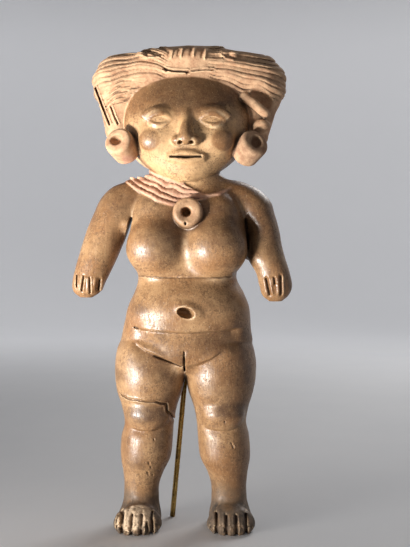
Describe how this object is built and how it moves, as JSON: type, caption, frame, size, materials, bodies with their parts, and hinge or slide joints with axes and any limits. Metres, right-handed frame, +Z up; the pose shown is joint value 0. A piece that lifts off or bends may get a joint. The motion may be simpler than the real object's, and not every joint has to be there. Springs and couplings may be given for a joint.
{
  "type": "standing terracotta statuette",
  "caption": "Solid fired clay statuette of a standing woman with a wide hair band, ear spools and a pendant, propped behind by a thin brass rod.",
  "frame": {"origin": "under the middle of the bounding box, on the plane that the soles stand on", "axes": "+Z up the body from soles to crown, the face and chest look along -Y, +X is the viewer's right from the front"},
  "size_m": [0.0906, 0.04, 0.1997],
  "materials": {
    "terracotta": "burnished",
    "rod": "satin"
  },
  "bodies": {
    "root": {"clay_figure": "terracotta", "support_rod": "rod"}
  },
  "joints": []
}
